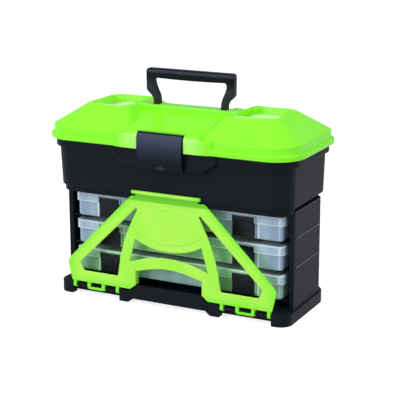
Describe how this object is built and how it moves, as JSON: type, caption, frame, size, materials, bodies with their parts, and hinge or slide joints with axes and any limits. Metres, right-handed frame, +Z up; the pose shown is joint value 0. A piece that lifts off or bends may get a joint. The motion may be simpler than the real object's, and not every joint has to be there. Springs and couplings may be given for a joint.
{
  "type": "tackle cabinet",
  "caption": "Black and lime-green tackle cabinet: hinged lid with folding handle and latch over a storage bin, and clear utility boxes in a rack behind a drop-down gate.",
  "frame": {"origin": "on the floor, centred under the overall width and depth", "axes": "X left to right along the longest extent, Y front to back with the gate facing -Y, Z up"},
  "size_m": [0.4, 0.199, 0.3378],
  "materials": {
    "black_body": "satin moulded black plastic",
    "black_trim": "satin moulded black plastic",
    "lime_body": "lime-green moulded plastic, low gloss",
    "lime_gate": "lime-green, slightly translucent plastic",
    "clear_box": "milky clear polypropylene",
    "steel_pin": "plain drawn steel"
  },
  "bodies": {
    "cabinet": {"plinth": "black_body", "rack_side_left": "black_body", "rack_side_right": "black_body", "rack_back": "black_body", "rack_header": "black_body", "storage_bin": "black_body", "lid_hinge_pin_left": "steel_pin", "lid_hinge_pin_right": "steel_pin"},
    "lid": {"lid_shell": "lime_body", "main_latch_pin": "steel_pin"},
    "lid_latch": {"main_latch": "black_trim"},
    "handle": {"carry_handle": "black_trim"},
    "gate": {"front_gate": "lime_gate"},
    "top_box": {"top_box_tray": "clear_box", "top_box_lid": "clear_box", "top_box_dividers": "clear_box"},
    "top_box_latch_left": {"top_box_latch_left": "black_trim"},
    "top_box_latch_right": {"top_box_latch_right": "black_trim"},
    "middle_box": {"middle_box_tray": "clear_box", "middle_box_lid": "clear_box", "middle_box_dividers": "clear_box"},
    "middle_box_latch_left": {"middle_box_latch_left": "black_trim"},
    "middle_box_latch_right": {"middle_box_latch_right": "black_trim"},
    "bottom_box": {"bottom_box_tray": "clear_box", "bottom_box_lid": "clear_box", "bottom_box_dividers": "clear_box"},
    "bottom_box_latch_left": {"bottom_box_latch_left": "black_trim"},
    "bottom_box_latch_right": {"bottom_box_latch_right": "black_trim"}
  },
  "joints": [
    {"name": "lid_hinge", "type": "hinge", "parent": "cabinet", "child": "lid", "pos_m": [0, 0.0945, 0.2328], "axis": [-1, 0, 0], "range_deg": [0, 100]},
    {"name": "main_latch_hinge", "type": "hinge", "parent": "lid", "child": "lid_latch", "pos_m": [0, -0.0905, 0.2583], "axis": [-1, 0, 0], "range_deg": [0, 90]},
    {"name": "handle_pivot", "type": "hinge", "parent": "lid", "child": "handle", "pos_m": [0, 0, 0.2763], "axis": [-1, 0, 0], "range_deg": [0, 90]},
    {"name": "gate_hinge", "type": "hinge", "parent": "cabinet", "child": "gate", "pos_m": [0, -0.071, 0.014], "axis": [1, 0, 0], "range_deg": [0, 90]},
    {"name": "top_box_slide", "type": "slide", "parent": "cabinet", "child": "top_box", "axis": [0, -1, 0], "range_m": [0, 0.012]},
    {"name": "top_box_latch_left_hinge", "type": "hinge", "parent": "top_box", "child": "top_box_latch_left", "pos_m": [-0.109, -0.0535, 0.1463], "axis": [1, 0, 0], "range_deg": [-35, 0]},
    {"name": "top_box_latch_right_hinge", "type": "hinge", "parent": "top_box", "child": "top_box_latch_right", "pos_m": [0.109, -0.0535, 0.1463], "axis": [1, 0, 0], "range_deg": [-35, 0]},
    {"name": "middle_box_slide", "type": "slide", "parent": "cabinet", "child": "middle_box", "axis": [0, -1, 0], "range_m": [0, 0.012]},
    {"name": "middle_box_latch_left_hinge", "type": "hinge", "parent": "middle_box", "child": "middle_box_latch_left", "pos_m": [-0.109, -0.0535, 0.1038], "axis": [1, 0, 0], "range_deg": [-35, 0]},
    {"name": "middle_box_latch_right_hinge", "type": "hinge", "parent": "middle_box", "child": "middle_box_latch_right", "pos_m": [0.109, -0.0535, 0.1038], "axis": [1, 0, 0], "range_deg": [-35, 0]},
    {"name": "bottom_box_slide", "type": "slide", "parent": "cabinet", "child": "bottom_box", "axis": [0, -1, 0], "range_m": [0, 0.012]},
    {"name": "bottom_box_latch_left_hinge", "type": "hinge", "parent": "bottom_box", "child": "bottom_box_latch_left", "pos_m": [-0.109, -0.0535, 0.0613], "axis": [1, 0, 0], "range_deg": [-35, 0]},
    {"name": "bottom_box_latch_right_hinge", "type": "hinge", "parent": "bottom_box", "child": "bottom_box_latch_right", "pos_m": [0.109, -0.0535, 0.0613], "axis": [1, 0, 0], "range_deg": [-35, 0]}
  ]
}
